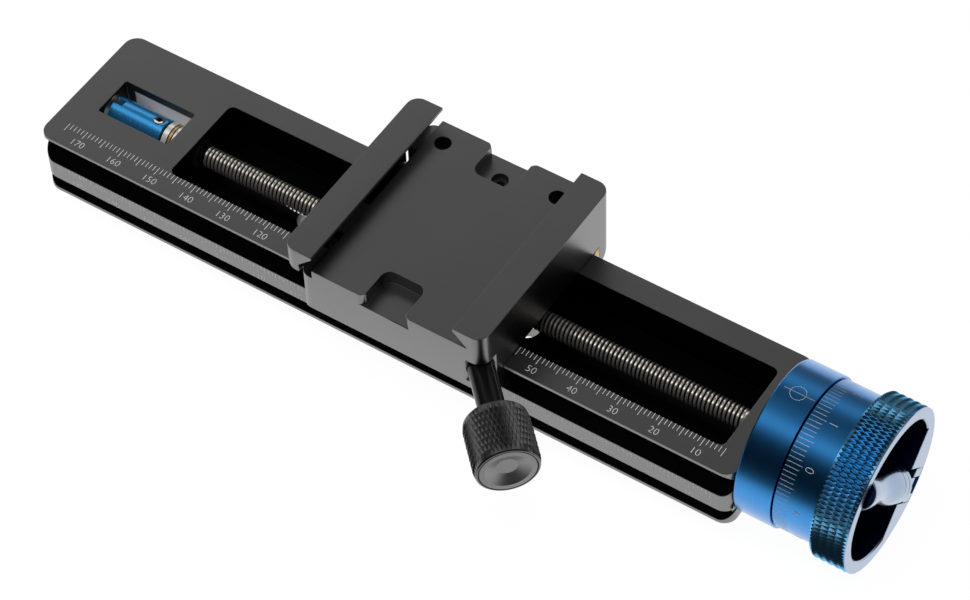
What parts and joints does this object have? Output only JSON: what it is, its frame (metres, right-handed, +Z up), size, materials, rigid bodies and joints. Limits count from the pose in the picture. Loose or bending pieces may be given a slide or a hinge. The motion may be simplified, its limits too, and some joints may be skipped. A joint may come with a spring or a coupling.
{
  "type": "macro focusing rail",
  "caption": "Graduated dovetail rail with a leadscrew turned by a dial with a folding crank, which moves a quick-release carriage for a camera plate.",
  "frame": {"origin": "bottom face of the rail, on the axis of the middle tripod thread", "axes": "+X along the rail towards the dial, +Y to the side with the brass gib, +Z up to the camera plate's seat"},
  "size_m": [0.2088, 0.0719, 0.0391],
  "materials": {
    "black_anodised": "satin black anodised",
    "blue_anodised": "glossy blue anodised",
    "pale_blue_anodised": "glossy pale blue anodised",
    "bright_steel": "turned and polished",
    "bearing_steel": "ground",
    "black_steel": "black oxide",
    "brass": "machined"
  },
  "bodies": {
    "rail": {"rail_body": "black_anodised", "rear_bushing": "black_steel", "thrust_race_fixed": "bearing_steel", "thrust_cage": "brass", "thrust_balls": "bearing_steel", "bearing_outer_race": "bearing_steel", "bearing_balls": "bearing_steel", "index_ring": "blue_anodised", "ring_screws": "black_steel"},
    "screw": {"leadscrew": "bright_steel", "bearing_inner_race": "bearing_steel", "thrust_race_turning": "bearing_steel", "lock_ring": "black_steel", "drive_coupling": "blue_anodised", "coupling_set_screw": "bright_steel", "dial": "blue_anodised", "dial_screw": "bright_steel", "crank_yoke": "pale_blue_anodised", "crank_pin": "bright_steel"},
    "crank": {"crank_arm": "pale_blue_anodised", "handle_axle": "bright_steel"},
    "handle": {"crank_handle": "pale_blue_anodised"},
    "carriage": {"carriage_body": "black_anodised", "nut_block": "black_anodised", "lead_nut": "brass", "nut_screws": "black_steel", "brass_gib": "brass", "gib_screws": "black_steel", "jaw_springs": "bright_steel"},
    "jaw": {"clamp_jaw": "black_anodised", "jaw_drawbar": "bright_steel", "drawbar_screws": "black_steel", "guide_pins": "bright_steel"},
    "plunger": {"wedge_plunger": "bright_steel"},
    "knob": {"clamp_spindle": "black_steel", "clamp_knob": "black_anodised", "knob_cap": "black_anodised"}
  },
  "joints": [
    {"name": "screw_turn", "type": "hinge", "parent": "rail", "child": "screw", "pos_m": [0.0898, 0, 0.0124], "axis": [1, 0, 0], "range_deg": [-19800, 19620]},
    {"name": "carriage_slide", "type": "slide", "parent": "rail", "child": "carriage", "axis": [1, 0, 0], "range_m": [-0.0545, 0.055]},
    {"name": "crank_fold", "type": "hinge", "parent": "screw", "child": "crank", "pos_m": [0.11475, 0.01068, 0.00172], "axis": [0, 0.7071, 0.7071], "range_deg": [0, 90]},
    {"name": "handle_spin", "type": "hinge", "parent": "crank", "child": "handle", "pos_m": [0.11475, 0, 0.0124], "axis": [0, 0.7071, -0.7071], "continuous": true},
    {"name": "plunger_slide", "type": "slide", "parent": "carriage", "child": "plunger", "axis": [-0.7071, 0.7071, 0], "range_m": [-0.0028, 0.003]},
    {"name": "knob_turn", "type": "hinge", "parent": "plunger", "child": "knob", "pos_m": [0.0319, -0.0227, 0.0207], "axis": [-0.7071, 0.7071, 0], "range_deg": [-1008, 1080]},
    {"name": "jaw_slide", "type": "slide", "parent": "carriage", "child": "jaw", "axis": [1, 0, 0], "range_m": [-0.0028, 0.003]}
  ],
  "couplings": [
    {"joint": "carriage_slide", "follows": "screw_turn", "m_per_rad": -0.00015915},
    {"joint": "plunger_slide", "follows": "knob_turn", "m_per_rad": 0.00015915},
    {"joint": "jaw_slide", "follows": "knob_turn", "m_per_rad": 0.00015915}
  ]
}
